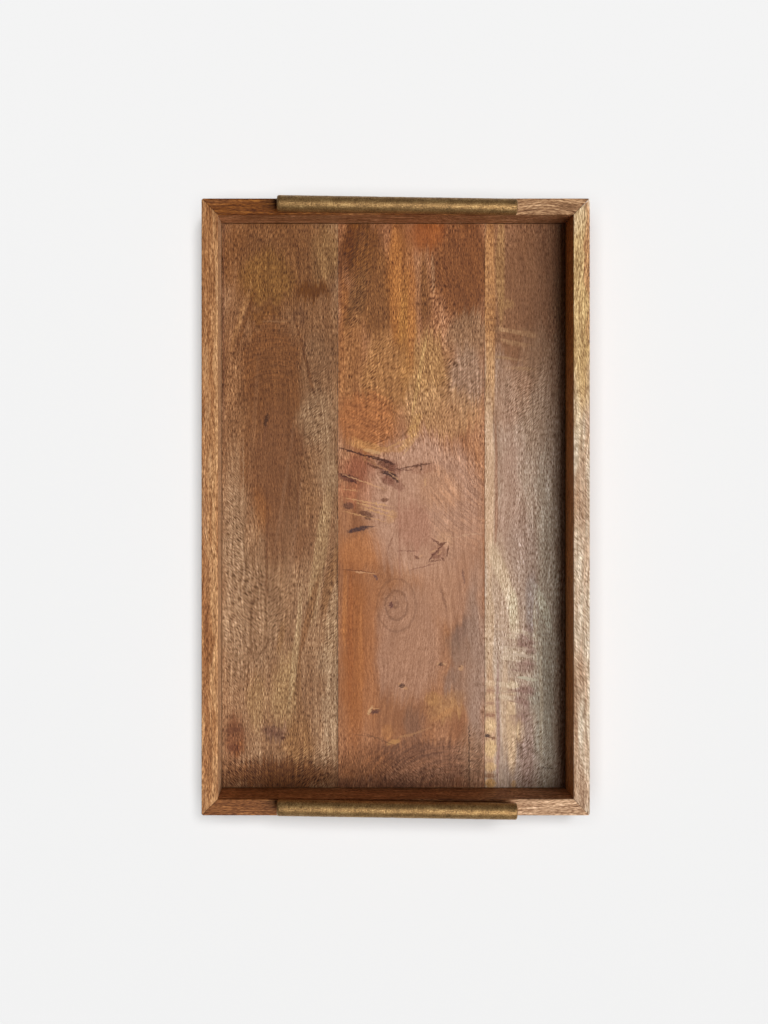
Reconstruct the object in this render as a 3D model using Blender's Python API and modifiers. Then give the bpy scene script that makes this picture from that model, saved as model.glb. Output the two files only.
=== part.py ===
"""Serving tray: three solid wood base boards captured in grooved, mitred rails, with a brass bar
handle standing on each short rail. Metres, +Z up, origin at the middle of the footprint."""
import math

import bmesh
import bpy
from mathutils import Matrix, Vector

for old in list(bpy.data.objects):
    bpy.data.objects.remove(old, do_unlink=True)

# ---------------------------------------------------------------- dimensions (metres)
TRAY_WIDTH = 0.381            # across, along X
TRAY_LENGTH = 0.6053          # along Y
RAIL_HEIGHT = 0.057
RAIL_THICKNESS = 0.016
CORNER_RADIUS = 0.0018        # outside corners, in plan
CORNER_STEPS = 4
EDGE_EASE = 0.0008            # sanded long edges of the rails
FIT_GAP = 0.0003              # clearance between pieces that touch

TRAY_DEPTH = 0.045            # rim down to the floor of the tray
BASE_THICKNESS = 0.010
TONGUE_THICKNESS = 0.005
TONGUE_REACH = 0.006          # how far the base runs into the rail grooves
TONGUE_DROP = 0.0035          # floor of the tray down to the tongue
SHADOW_GAP = 0.0007           # open line round the floor, where the base meets the walls
LEFT_JOINT_X = -0.0564        # glue line between the left and middle boards
RIGHT_JOINT_X = 0.0926        # glue line between the middle and right boards
BOARD_EASE = 0.0003

SPLINE_THICKNESS = 0.004
SPLINE_LENGTH = 0.012         # across the mitre
SPLINE_HEIGHT = 0.030
SPLINE_BOTTOM = 0.015
SPLINE_SETBACK = 0.0085       # mitre's outer tip to the middle of the spline, in X and in Y

BAR_RADIUS = 0.0081
BAR_LENGTH = 0.2333
BAR_SIDES = 64
BAR_END_ROUND = 0.0022
BAR_END_STEPS = 4
HANDLE_SKEW = math.radians(-0.9)
HANDLE_INBOARD = 0.0015       # handle's centreline inside the middle of the short rail
HANDLE_SHIFT_X = 0.0005
HANDLE_GAP = 0.006            # rim up to the underside of the bar

POST_RADIUS = 0.00375
POST_INSET = 0.024            # end of the bar to the middle of the post
POST_SOCKET_DEPTH = 0.007     # how far the post runs up into the bar
POST_SIDES = 40
POST_EASE = 0.0004

STUD_RADIUS = 0.002
STUD_IN_POST = 0.009
STUD_IN_RAIL = 0.026
STUD_SIDES = 24
STUD_EASE = 0.0004

HALF_WIDTH = TRAY_WIDTH / 2
HALF_LENGTH = TRAY_LENGTH / 2
INNER_X = HALF_WIDTH - RAIL_THICKNESS
INNER_Y = HALF_LENGTH - RAIL_THICKNESS
FLOOR_TOP = RAIL_HEIGHT - TRAY_DEPTH
TONGUE_TOP = FLOOR_TOP - TONGUE_DROP
TONGUE_BOTTOM = TONGUE_TOP - TONGUE_THICKNESS
BAR_Z = RAIL_HEIGHT + HANDLE_GAP + BAR_RADIUS
POST_BOTTOM = RAIL_HEIGHT + FIT_GAP
POST_TOP = RAIL_HEIGHT + HANDLE_GAP + POST_SOCKET_DEPTH

# ---------------------------------------------------------------- collections and materials
parts = bpy.data.collections.new("wood_tray_brass_handles")
cutters = bpy.data.collections.new("cutters")
for group in (parts, cutters):
    bpy.context.scene.collection.children.link(group)


def material(name, colour, metallic, roughness):
    made = bpy.data.materials.new(name)
    made.use_nodes = True
    shader = made.node_tree.nodes["Principled BSDF"]
    shader.inputs["Base Color"].default_value = (*colour, 1.0)
    shader.inputs["Metallic"].default_value = metallic
    shader.inputs["Roughness"].default_value = roughness
    return made


# ---------------------------------------------------------------- helpers
def mesh_object(name, shape, group):
    """Put a bmesh into the file as a named object in the given collection."""
    bmesh.ops.recalc_face_normals(shape, faces=shape.faces)
    data = bpy.data.meshes.new(name)
    shape.to_mesh(data)
    shape.free()
    made = bpy.data.objects.new(name, data)
    group.objects.link(made)
    return made


def box(name, low, high, group):
    """An axis-aligned block between two corners."""
    shape = bmesh.new()
    size = Vector(high) - Vector(low)
    middle = (Vector(high) + Vector(low)) / 2
    bmesh.ops.create_cube(shape, size=1.0, matrix=Matrix.Translation(middle) @ Matrix.Diagonal((*size, 1.0)))
    return mesh_object(name, shape, group)


def prism(name, outline, low, high, group):
    """A plan outline extruded from one height to another."""
    shape = bmesh.new()
    foot = [shape.verts.new((x, y, low)) for x, y in outline]
    face = shape.faces.new(foot)
    lifted = bmesh.ops.extrude_face_region(shape, geom=[face])
    top = [v for v in lifted["geom"] if isinstance(v, bmesh.types.BMVert)]
    bmesh.ops.translate(shape, verts=top, vec=(0.0, 0.0, high - low))
    return mesh_object(name, shape, group)


def cylinder(name, radius, length, sides, place, group):
    """A closed cylinder about its own Z, moved by a matrix."""
    shape = bmesh.new()
    bmesh.ops.create_cone(
        shape, cap_ends=True, segments=sides, radius1=radius, radius2=radius, depth=length, matrix=place)
    return mesh_object(name, shape, group)


def ease(target, width, segments, angle):
    """Round over the edges that turn by more than the angle."""
    bevel = target.modifiers.new("ease", "BEVEL")
    bevel.width = width
    bevel.segments = segments
    bevel.limit_method = "ANGLE"
    bevel.angle_limit = angle


def ease_marked(target, width, segments, wanted):
    """Round over only the edges the test picks."""
    weights = target.data.attributes.new("bevel_weight_edge", "FLOAT", "EDGE")
    for edge in target.data.edges:
        ends = [target.data.vertices[i].co for i in edge.vertices]
        weights.data[edge.index].value = 1.0 if wanted(*ends) else 0.0
    bevel = target.modifiers.new("ease", "BEVEL")
    bevel.width = width
    bevel.segments = segments
    bevel.limit_method = "WEIGHT"


def cut(target, tool):
    """Take a cutter out of a part."""
    tool.hide_render = True
    tool.display_type = "WIRE"
    boolean = target.modifiers.new("cut_" + tool.name, "BOOLEAN")
    boolean.operation = "DIFFERENCE"
    boolean.solver = "EXACT"
    boolean.object = tool


def turned(outline, along_y):
    """Swap an outline drawn for an end rail so that it lies along Y."""
    return [(y, x) for x, y in outline] if along_y else outline


# ---------------------------------------------------------------- rails
def rail_outline(half_run, half_across):
    """Plan of a mitred rail that runs along X on the +Y side, outside corners rounded."""
    slip = FIT_GAP / math.sqrt(2)
    inner = half_across - RAIL_THICKNESS
    right = [(half_run - RAIL_THICKNESS - slip, inner)]
    for step in range(CORNER_STEPS + 1):
        turn = math.radians(45) * (1 + step / CORNER_STEPS)
        x = half_run - CORNER_RADIUS + CORNER_RADIUS * math.cos(turn)
        y = half_across - CORNER_RADIUS + CORNER_RADIUS * math.sin(turn)
        right.append((x - slip * (1 - step / CORNER_STEPS), y))
    left = [(-x, y) for x, y in reversed(right)]
    return right + left


def rail(name, side, along_y, finish):
    """One rail: a grooved, slotted, mitred length of wood with sanded edges."""
    run, across = (HALF_LENGTH, HALF_WIDTH) if along_y else (HALF_WIDTH, HALF_LENGTH)
    outline = [(x * side, y * side) for x, y in rail_outline(run, across)]
    made = prism(name, turned(outline, along_y), 0.0, RAIL_HEIGHT, parts)
    mitre_tolerance = FIT_GAP

    def sanded(a, b):
        level = abs(a.z - b.z) < mitre_tolerance
        a_run, b_run = (a.y, b.y) if along_y else (a.x, b.x)
        a_across, b_across = (a.x, b.x) if along_y else (a.y, b.y)
        on_mitre = abs(abs(a_across - b_across) - abs(a_run - b_run)) < mitre_tolerance
        return level and not (on_mitre and (a - b).length > RAIL_THICKNESS / 2)

    ease_marked(made, EDGE_EASE, 3, sanded)
    low = (-run, across - RAIL_THICKNESS - TONGUE_REACH, TONGUE_BOTTOM - FIT_GAP)
    high = (run, across - RAIL_THICKNESS + TONGUE_REACH + FIT_GAP, TONGUE_TOP + FIT_GAP)
    corners = turned([(low[0], low[1] * side), (high[0], high[1] * side)], along_y)
    xs = sorted(c[0] for c in corners)
    ys = sorted(c[1] for c in corners)
    groove = box(name + "_groove", (xs[0], ys[0], low[2]), (xs[1], ys[1], high[2]), cutters)
    cut(made, groove)
    made.data.materials.append(finish)
    return made


def spline_place(sx, sy):
    """Where a corner's spline sits: across the mitre, square to it."""
    centre = Vector((
        sx * (HALF_WIDTH - SPLINE_SETBACK),
        sy * (HALF_LENGTH - SPLINE_SETBACK),
        SPLINE_BOTTOM + SPLINE_HEIGHT / 2))
    across_mitre = math.atan2(sy, -sx)
    return Matrix.Translation(centre) @ Matrix.Rotation(across_mitre, 4, "Z")


def spline_block(name, place, grow, group):
    """The spline itself, or its slot when grown by the fit gap."""
    shape = bmesh.new()
    size = (SPLINE_LENGTH + 2 * grow, SPLINE_THICKNESS + 2 * grow, SPLINE_HEIGHT + 2 * grow, 1.0)
    bmesh.ops.create_cube(shape, size=1.0, matrix=place @ Matrix.Diagonal(size))
    return mesh_object(name, shape, group)


def corner_splines(rails, finish):
    """A blind spline of wood in every mitre, with its slot cut in both rails."""
    for sy, end in ((1, "back"), (-1, "front")):
        for sx, flank in ((-1, "left"), (1, "right")):
            place = spline_place(sx, sy)
            key = spline_block("spline_" + end + "_" + flank, place, 0.0, parts)
            key.data.materials.append(finish)
            slot = spline_block("slot_" + end + "_" + flank, place, FIT_GAP, cutters)
            cut(rails["rail_" + end], slot)
            cut(rails["rail_" + flank], slot)


# ---------------------------------------------------------------- base
def board_section(left, right, left_edge, right_edge):
    """Cross-section in X and Z: a tongue where the board meets a rail, square where it meets a board."""
    bottom = FLOOR_TOP - BASE_THICKNESS
    shelf = INNER_X - SHADOW_GAP
    reach = INNER_X + TONGUE_REACH
    points = []
    if left_edge:
        points += [(-shelf, bottom), (-shelf, TONGUE_BOTTOM), (-reach, TONGUE_BOTTOM)]
        points += [(-reach, TONGUE_TOP), (-shelf, TONGUE_TOP), (-shelf, FLOOR_TOP)]
    else:
        points += [(left, bottom), (left, FLOOR_TOP)]
    if right_edge:
        points += [(shelf, FLOOR_TOP), (shelf, TONGUE_TOP), (reach, TONGUE_TOP)]
        points += [(reach, TONGUE_BOTTOM), (shelf, TONGUE_BOTTOM), (shelf, bottom)]
    else:
        points += [(right, FLOOR_TOP), (right, bottom)]
    return points


def base_board(name, left, right, left_edge, right_edge, finish):
    """One base board, running the length of the tray, tongued at both ends."""
    half = INNER_Y + TONGUE_REACH
    shape = bmesh.new()
    ring = [shape.verts.new((x, -half, z)) for x, z in board_section(left, right, left_edge, right_edge)]
    face = shape.faces.new(ring)
    moved = bmesh.ops.extrude_face_region(shape, geom=[face])
    far = [v for v in moved["geom"] if isinstance(v, bmesh.types.BMVert)]
    bmesh.ops.translate(shape, verts=far, vec=(0.0, 2 * half, 0.0))
    made = mesh_object(name, shape, parts)
    inner = INNER_Y - SHADOW_GAP
    margin = RAIL_THICKNESS
    for end, word in ((1, "back"), (-1, "front")):
        for low, high, level in (
            (TONGUE_TOP, FLOOR_TOP + margin, "upper"),
            (FLOOR_TOP - BASE_THICKNESS - margin, TONGUE_BOTTOM, "lower"),
        ):
            ys = sorted((end * inner, end * (half + margin)))
            rebate = box(
                name + "_rebate_" + word + "_" + level,
                (-HALF_WIDTH, ys[0], low), (HALF_WIDTH, ys[1], high), cutters)
            cut(made, rebate)
    made.data.materials.append(finish)
    return made


# ---------------------------------------------------------------- handles
def handle_frame(side):
    """The handle's own frame: on the short rail, turned a little out of square."""
    middle = Vector((HANDLE_SHIFT_X, side * (HALF_LENGTH - RAIL_THICKNESS / 2 - HANDLE_INBOARD), 0.0))
    return Matrix.Translation(middle) @ Matrix.Rotation(HANDLE_SKEW, 4, "Z")


def handle(end, side, short_rail, brass, steel):
    """A round bar on two posts, each post held by a stud screwed down into the rail."""
    frame = handle_frame(side)
    lying = Matrix.Rotation(math.radians(90), 4, "Y")
    bar = cylinder(
        "bar_" + end, BAR_RADIUS, BAR_LENGTH, BAR_SIDES,
        frame @ Matrix.Translation((0.0, 0.0, BAR_Z)) @ lying, parts)
    ease(bar, BAR_END_ROUND, BAR_END_STEPS, math.radians(60))
    bar.data.materials.append(brass)
    reach = BAR_LENGTH / 2 - POST_INSET
    for sx, flank in ((-1, "left"), (1, "right")):
        tag = end + "_" + flank
        spot = frame @ Matrix.Translation((sx * reach, 0.0, 0.0))

        def upright(name, radius, low, high, sides, group):
            place = spot @ Matrix.Translation((0.0, 0.0, (low + high) / 2))
            return cylinder(name, radius, high - low, sides, place, group)

        post = upright("post_" + tag, POST_RADIUS, POST_BOTTOM, POST_TOP, POST_SIDES, parts)
        ease(post, POST_EASE, 2, math.radians(60))
        post.data.materials.append(brass)
        socket = upright(
            "socket_" + tag, POST_RADIUS + FIT_GAP, RAIL_HEIGHT, POST_TOP + FIT_GAP, POST_SIDES, cutters)
        cut(bar, socket)

        stud_low = RAIL_HEIGHT - STUD_IN_RAIL
        stud_high = RAIL_HEIGHT + STUD_IN_POST
        stud = upright("stud_" + tag, STUD_RADIUS, stud_low, stud_high, STUD_SIDES, parts)
        ease(stud, STUD_EASE, 1, math.radians(60))
        stud.data.materials.append(steel)
        drilled = upright(
            "drilled_" + tag, STUD_RADIUS + FIT_GAP, stud_low - FIT_GAP, stud_high + FIT_GAP,
            STUD_SIDES, cutters)
        cut(post, drilled)
        cut(short_rail, drilled)


# ---------------------------------------------------------------- build
rail_wood = material("rail_wood", (0.36, 0.20, 0.10), 0.0, 0.5)
left_wood = material("left_board_wood", (0.31, 0.17, 0.09), 0.0, 0.5)
middle_wood = material("middle_board_wood", (0.34, 0.14, 0.06), 0.0, 0.5)
right_wood = material("right_board_wood", (0.40, 0.27, 0.18), 0.0, 0.5)
spline_wood = material("spline_wood", (0.45, 0.30, 0.18), 0.0, 0.6)
handle_brass = material("handle_brass", (0.35, 0.24, 0.11), 1.0, 0.45)
stud_steel = material("stud_steel", (0.55, 0.55, 0.56), 1.0, 0.35)

rails = {
    "rail_left": rail("rail_left", -1, True, rail_wood),
    "rail_right": rail("rail_right", 1, True, rail_wood),
    "rail_front": rail("rail_front", -1, False, rail_wood),
    "rail_back": rail("rail_back", 1, False, rail_wood),
}
corner_splines(rails, spline_wood)

half_gap = FIT_GAP / 2
base_board("base_left", 0.0, LEFT_JOINT_X - half_gap, True, False, left_wood)
base_board("base_middle", LEFT_JOINT_X + half_gap, RIGHT_JOINT_X - half_gap, False, False, middle_wood)
base_board("base_right", RIGHT_JOINT_X + half_gap, 0.0, False, True, right_wood)

handle("back", 1, rails["rail_back"], handle_brass, stud_steel)
handle("front", -1, rails["rail_front"], handle_brass, stud_steel)
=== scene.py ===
import math

import bmesh
import bpy
from mathutils import Matrix, Vector, noise


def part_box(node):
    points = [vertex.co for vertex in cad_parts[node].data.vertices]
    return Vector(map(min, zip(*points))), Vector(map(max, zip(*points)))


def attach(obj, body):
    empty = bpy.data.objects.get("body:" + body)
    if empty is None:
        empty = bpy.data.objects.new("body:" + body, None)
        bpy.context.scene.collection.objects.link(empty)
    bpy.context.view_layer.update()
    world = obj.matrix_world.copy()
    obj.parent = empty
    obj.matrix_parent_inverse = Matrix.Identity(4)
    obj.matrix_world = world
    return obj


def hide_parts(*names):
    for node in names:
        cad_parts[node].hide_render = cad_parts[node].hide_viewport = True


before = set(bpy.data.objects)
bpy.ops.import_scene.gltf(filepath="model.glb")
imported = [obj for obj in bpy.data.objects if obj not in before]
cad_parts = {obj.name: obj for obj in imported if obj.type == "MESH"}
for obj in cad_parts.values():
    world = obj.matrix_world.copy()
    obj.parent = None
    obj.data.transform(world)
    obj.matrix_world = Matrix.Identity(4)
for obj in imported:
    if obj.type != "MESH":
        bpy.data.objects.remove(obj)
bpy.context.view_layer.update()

SCENE = bpy.context.scene
SCENE.view_settings.view_transform = "Standard"
SCENE.view_settings.look = "None"

MM = 0.001
RIM_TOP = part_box("rail_left")[1][2]
ENDS = ("back", "front")
FLANKS = ("left", "right")


# ---------------------------------------------------------------- shader helpers
SHEEN = 0.014           # pale light that the satin finish adds to every wood colour in this studio
DARKEST = 0.003
FLAT = 9000.0           # depth of a mark's ellipse in millimetres, so that height makes no difference
NOISE_SPREAD = 3.6      # noise stays near its middle, and this brings it to about -1 to 1


def tone(red, green, blue):
    """A colour as the eye reads it, 0 to 255, as the light value a shader wants."""
    def channel(value):
        value /= 255
        return value / 12.92 if value <= 0.04045 else ((value + 0.055) / 1.055) ** 2.4
    return (channel(red), channel(green), channel(blue), 1.0)


def stain(red, green, blue):
    """A wood colour, less the sheen of its finish."""
    return tuple(max(DARKEST, value - SHEEN) for value in tone(red, green, blue)[:3]) + (1.0,)


class Val:
    """An output socket that can be used in sums."""

    def __init__(self, graph, socket):
        self.graph = graph
        self.socket = socket

    def __add__(self, other):
        return self.graph.math("ADD", self, other)

    __radd__ = __add__

    def __mul__(self, other):
        return self.graph.math("MULTIPLY", self, other)

    __rmul__ = __mul__

    def __sub__(self, other):
        return self.graph.math("SUBTRACT", self, other)

    def __rsub__(self, other):
        return self.graph.math("SUBTRACT", other, self)

    def __truediv__(self, other):
        return self.graph.math("DIVIDE", self, other)


class Graph:
    """One node material, built up by calls that each add a node."""

    def __init__(self, name):
        self.material = bpy.data.materials.new(name)
        self.material.use_nodes = True
        self.tree = self.material.node_tree
        self.shader = self.tree.nodes["Principled BSDF"]

    def node(self, kind, inputs=None, out=0, **settings):
        made = self.tree.nodes.new("ShaderNode" + kind)
        for key, value in settings.items():
            setattr(made, key, value)
        for key, value in (inputs or {}).items():
            self.feed(made.inputs[key], value)
        return Val(self, made.outputs[out])

    def feed(self, socket, value):
        if isinstance(value, Val):
            self.tree.links.new(value.socket, socket)
        else:
            socket.default_value = value

    def finish(self, **inputs):
        """Feeds the shader itself. A name's underscores stand for spaces."""
        for key, value in inputs.items():
            self.feed(self.shader.inputs[key.replace("_", " ")], value)
        return self.material

    def math(self, operation, first, second=0.0):
        return self.node("Math", {0: first, 1: second}, operation=operation)

    def vector(self, operation, first, second=(0.0, 0.0, 0.0)):
        return self.node("VectorMath", {0: first, 1: second}, operation=operation)

    def length(self, point):
        return self.node("VectorMath", {0: point}, out="Value", operation="LENGTH")

    def dot(self, first, second):
        return self.node("VectorMath", {0: first, 1: second}, out="Value", operation="DOT_PRODUCT")

    def millimetres(self):
        """The piece's own coordinates, in millimetres."""
        metres = self.node("TexCoord", out="Object")
        return self.node("VectorMath", {0: metres, "Scale": 1 / MM}, operation="SCALE")

    def combine(self, x, y, z):
        return self.node("CombineXYZ", {0: x, 1: y, 2: z})

    def split(self, point):
        made = self.tree.nodes.new("ShaderNodeSeparateXYZ")
        self.feed(made.inputs[0], point)
        return [Val(self, out) for out in made.outputs]

    def noise(self, point, size, detail=2.0, rough=0.5):
        """Noise whose features are about size millimetres each way, 0 to 1."""
        scaled = self.vector("MULTIPLY", point, tuple(1.0 / s for s in size))
        return self.node("TexNoise", {"Vector": scaled, "Scale": 1.0, "Detail": detail, "Roughness": rough})

    def swing(self, point, size, detail=1.0):
        """The same noise, spread to about -1 to 1."""
        return (self.noise(point, size, detail) - 0.5) * NOISE_SPREAD

    def smooth(self, value, low, high, start=0.0, end=1.0):
        inputs = {"Value": value, "From Min": low, "From Max": high, "To Min": start, "To Max": end}
        return self.node("MapRange", inputs, interpolation_type="SMOOTHSTEP", clamp=True)

    def mix(self, amount, first, second, blend="MIX"):
        return self.node("Mix", {0: amount, 6: first, 7: second}, out=2, data_type="RGBA", blend_type=blend)

    def ramp(self, value, stops):
        made = self.tree.nodes.new("ShaderNodeValToRGB")
        self.feed(made.inputs[0], value)
        points = made.color_ramp.elements
        while len(points) < len(stops):
            points.new(0.5)
        for point, (place, colour) in zip(points, stops):
            point.position = place
            point.color = colour
        return Val(self, made.outputs[0])

    def seen_from(self, point, x, y, unit_x=1.0, unit_y=1.0):
        """The point measured from (x, y), in those units."""
        inputs = {"Vector": point, "Location": (x, y, 0.0), "Scale": (unit_x, unit_y, FLAT)}
        return self.node("Mapping", inputs, vector_type="TEXTURE")

    def spot(self, point, x, y, half_x, half_y, turn, soft, amount=1.0):
        """amount inside an ellipse, 0 outside, with a soft edge."""
        ball = self.node("TexGradient", {"Vector": point}, out=1, gradient_type="SPHERICAL")
        placing = ball.socket.node.texture_mapping
        placing.vector_type = "TEXTURE"
        placing.translation = (x, y, 0.0)
        placing.rotation = (0.0, 0.0, math.radians(turn))
        placing.scale = (half_x * (1 + soft), half_y * (1 + soft), FLAT)
        return self.smooth(ball, 0.0, 2 * soft / (1 + soft), 0.0, amount)


# ---------------------------------------------------------------- wood
# A piece's table is in millimetres in the tray's frame, with x across the grain and y along it. It gives a
# seed, the pith (its x and y, its depth below the tray and its slope along y), the rings' width, the sway of
# the grain's long bends, and four shades. The rest may be left out, and is then as below. A place is its
# middle's x and y, its half widths along x and y, and its turn in degrees. Colours are red, green and blue
# as the eye reads them, 0 to 255, and an amount goes from 0 to 1. A later entry lies over an earlier one.
PLAIN_WOOD = {
    "along": "Y",                           # the tray's axis that the grain follows
    "waver": 2.2,                           # short bends in the grain
    "pore": 1.2,                            # how strongly the pores show
    "streak": 2.2,                          # how strongly the long streaks show
    "shade_size": (26.0, 150.0, 40.0),      # size of the slow shades
    "eyes": (),                             # x, y, radius and push: the grain bends round these
    "slants": (),                           # place and way, 1 or -1: pores slant out of the board there
    "calm": (),                             # place and the share of the grain's strength kept there
    "zones": (),                            # place, colour and amount: soft patches
    "bands": (),                            # the same, with an edge frayed only along the grain
    "stripes": (),                          # place, colour, amount and pitch: stripes across the grain
    "wall": None,                           # colour of a rail below its rim: painted light or shade for that side
    "arcs": (),                             # the arcs' centre, a place and amount: lines that sweep round
    "tint": None,                           # a last correction, as a share of red, green and blue
    "marks": (),                            # place, colour and amount: knots, cracks and scars
    "targets": (),                          # x, y, radius, pitch and amount: closed rings round a knot
}
SEED_STEP = (37.0, 61.0, 23.0)
SHADE_PLACES = (0.30, 0.45, 0.58, 0.72)     # where the four slow shades, dark to pale, lie in the noise
SLANT = math.radians(38.0)
BROAD = 2.8             # marks at least this wide keep the grain, finer ones cover it
MARK_EDGE = 0.3
# the share of a rail's own colour that the painted light or shade below its rim replaces
WALL_AMOUNT = 0.85
TARGET_COLOUR = (84, 50, 32)
TARGET_STRETCH = 1.35   # rings are longer along the grain
GRAIN_TINT = {"Red": 0.85, "Green": 1.05, "Blue": 1.25}     # dark grain is warmer than pale grain
ARC_SHADES = (
    (0.36, (0.64, 0.58, 0.54, 1.0)),
    (0.50, (1.00, 1.00, 1.00, 1.0)),
    (0.64, (1.42, 1.42, 1.38, 1.0)),
)


class Wood:
    """One piece's solid wood: growth rings round a pith line, fibres and pores, then its own patches and
    marks. wood() calls the methods in order, and each builds on what the ones before it left."""

    def __init__(self, name, spec):
        self.graph = Graph(name)
        self.spec = {**PLAIN_WOOD, **spec}

    def lay_places(self):
        """Places on the piece, exact and shifted by its seed."""
        g = self.graph
        self.exact = g.millimetres()
        if self.spec["along"] == "X":
            x, y, z = g.split(self.exact)
            self.exact = g.combine(y, x, z)
        self.x, self.y, self.z = g.split(self.exact)
        self.seeded = g.vector("ADD", self.exact, tuple(self.spec["seed"] * k for k in SEED_STEP))

    def lay_grain(self):
        """Straight lines, bent by slow waves and pushed round the knots, and the growth rings."""
        g, spec, seeded = self.graph, self.spec, self.seeded
        across = self.x + g.swing(seeded, (95.0, 240.0, 90.0)) * spec["sway"]
        across = across + g.swing(seeded, (24.0, 70.0, 30.0)) * spec["waver"]
        for eye_x, eye_y, radius, push in spec["eyes"]:
            offset = g.seen_from(self.exact, eye_x, eye_y, radius, radius * 1.5)
            fall = g.math("EXPONENT", g.dot(offset, offset) * -1.0)
            across = across - (self.x - eye_x) * fall * push
        self.fine = g.combine(across + g.swing(seeded, (70.0, 80.0, 60.0)) * 4.0, self.y, self.z)

        pith_x, pith_y, depth, slope = spec["pith"]
        side = across - pith_x
        down = (self.y - pith_y) * slope + self.z + depth
        from_pith = g.math("SQRT", side * side + down * down)
        years = from_pith / spec["ring"] + g.swing(seeded, (60.0, 160.0, 60.0)) * 0.5
        season = g.math("FRACT", years)
        ring = g.smooth(season, 0.2, 0.86) * g.smooth(season, 0.9, 1.0, 1.0, 0.0)
        self.ring = ring * g.smooth(g.noise(seeded, (40.0, 120.0, 40.0)), 0.36, 0.66)

    def fray_places(self):
        """The same places with uneven edges: loose for patches, straight for bands, crisp for marks."""
        g, seeded, fine = self.graph, self.seeded, self.fine
        wander = g.swing(seeded, (12.0, 26.0, 20.0), 2.0) * 3.4 + g.swing(seeded, (34.0, 60.0, 40.0)) * 5.0
        self.loose = g.combine(
            self.x + wander,
            self.y + g.swing(g.vector("ADD", fine, (90.0, 10.0, 0.0)), (3.0, 40.0, 20.0), 2.0) * 9.0,
            self.z)
        self.straight = g.combine(
            self.x + g.swing(seeded, (16.0, 50.0, 20.0)) * 1.2,
            self.y + g.swing(g.vector("ADD", fine, (40.0, 60.0, 0.0)), (1.6, 14.0, 10.0), 2.0) * 3.0,
            self.z)
        self.crisp = g.combine(
            self.x + g.swing(seeded, (2.4, 2.4, 2.4), 2.0) * 1.2,
            self.y + g.swing(g.vector("ADD", seeded, (40.0, 80.0, 0.0)), (3.6, 2.2, 2.4), 2.0) * 1.2,
            self.z)
        self.grit = g.smooth(g.noise(self.crisp, (1.1, 0.9, 1.1), 2.0), 0.3, 0.56, 0.45, 1.0)

    def lay_pores(self):
        """Short dashes along the grain, slanting where the grain rises out of the board."""
        g = self.graph
        dash = g.noise(self.fine, (0.46, 4.6, 0.8), 1.5, 0.55)
        for way in (1, -1):
            places = [place[:5] for place in self.spec["slants"] if place[5] == way]
            if places:
                turned = g.node("Mapping", {"Vector": self.fine, "Rotation": (0.0, 0.0, way * SLANT)})
                slanted = g.noise(turned, (0.55, 5.2, 0.8), 1.0, 0.5)
                inside = 0.0
                for place in places:
                    inside = g.math("MAXIMUM", g.spot(self.exact, *place, 0.35), inside)
                dash = g.node("Mix", {0: inside, 2: dash, 3: slanted}, data_type="FLOAT")
        self.fibre = g.noise(self.fine, (0.5, 26.0, 1.0), 3.0, 0.6)
        self.pore = g.smooth(dash, 0.49, 0.64)
        self.fleck = g.smooth(dash, 0.5, 0.34)

    def cover(self, inside, colour):
        self.colour = self.graph.mix(inside, self.colour, stain(*colour))

    def multiply(self, shade, inside=1.0):
        self.colour = self.graph.mix(inside, self.colour, shade, "MULTIPLY")

    def paint_patches(self):
        """Slow shades, then the soft patches, bands and cross stripes, and the painted light or shade of a
        rail below its rim.
        """
        g, spec = self.graph, self.spec
        slow = g.noise(self.seeded, spec["shade_size"], 3.0, 0.55)
        shades = [stain(*shade) for shade in spec["shades"]]
        self.colour = g.ramp(slow, list(zip(SHADE_PLACES, shades)))
        for x, y, half_x, half_y, turn, colour, amount in spec["zones"]:
            soft = max(0.2, min(0.5, 7.0 / min(half_x, half_y)))
            self.cover(g.spot(self.loose, x, y, half_x, half_y, turn, soft, amount), colour)
        for *place, colour, amount in spec["bands"]:
            self.cover(g.spot(self.straight, *place, 0.32, amount), colour)
        for *place, turn, colour, amount, pitch in spec["stripes"]:
            inside = g.spot(self.straight, *place, turn, 0.2, amount)
            tilted = g.combine(self.x, self.y - self.x * math.tan(math.radians(turn)), self.z)
            self.cover(inside * g.smooth(g.noise(tilted, (60.0, pitch, 40.0), 1.0), 0.47, 0.57), colour)
        # Painted light and shade: a rail's sides below the rim take a colour paler than its wood on the left,
        # back and front rails, and darker on the right one.
        if spec["wall"]:
            rim = RIM_TOP / MM
            self.cover(g.smooth(self.z, rim - 1.0, rim - 4.0, 0.0, WALL_AMOUNT), spec["wall"])

    def paint_marks(self, broad):
        """The broad marks, which the grain then shades, or the fine ones, which cover it."""
        for *place, colour, amount in self.spec["marks"]:
            if (min(place[2:4]) >= BROAD) == broad:
                self.cover(self.graph.spot(self.crisp, *place, MARK_EDGE, amount) * self.grit, colour)

    def shade_grain(self):
        """Darkens by the pores, fibres, streaks and rings, and less so in the calm places."""
        g, spec = self.graph, self.spec
        quiet = 1.0
        for *place, keep in spec["calm"]:
            quiet = (1.0 - g.spot(self.loose, *place, 0.4, 1.0 - keep)) * quiet
        coarse = quiet * spec["pore"]
        long = quiet * 0.7 + 0.3
        mottle = g.noise(self.fine, (2.4, 11.0, 3.0), 2.0)
        speckle = g.noise(self.fine, (0.8, 1.9, 0.9), 1.5)
        streak = g.noise(g.vector("ADD", self.fine, (17.0, 90.0, 5.0)), (1.5, 60.0, 2.4), 3.0, 0.6)
        dim = (self.pore - 0.3) * coarse - (self.fleck - 0.3) * (coarse * 0.45)
        dim = dim + (self.fibre - 0.5) * long * 1.5 + (streak - 0.5) * long * spec["streak"]
        dim = dim + (mottle - 0.5) * 0.6 + (speckle - 0.5) * 0.75 + (self.ring - 0.18) * 0.2
        self.multiply(g.node("CombineColor", {
            channel: g.math("EXPONENT", dim * -power) for channel, power in GRAIN_TINT.items()}))

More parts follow.
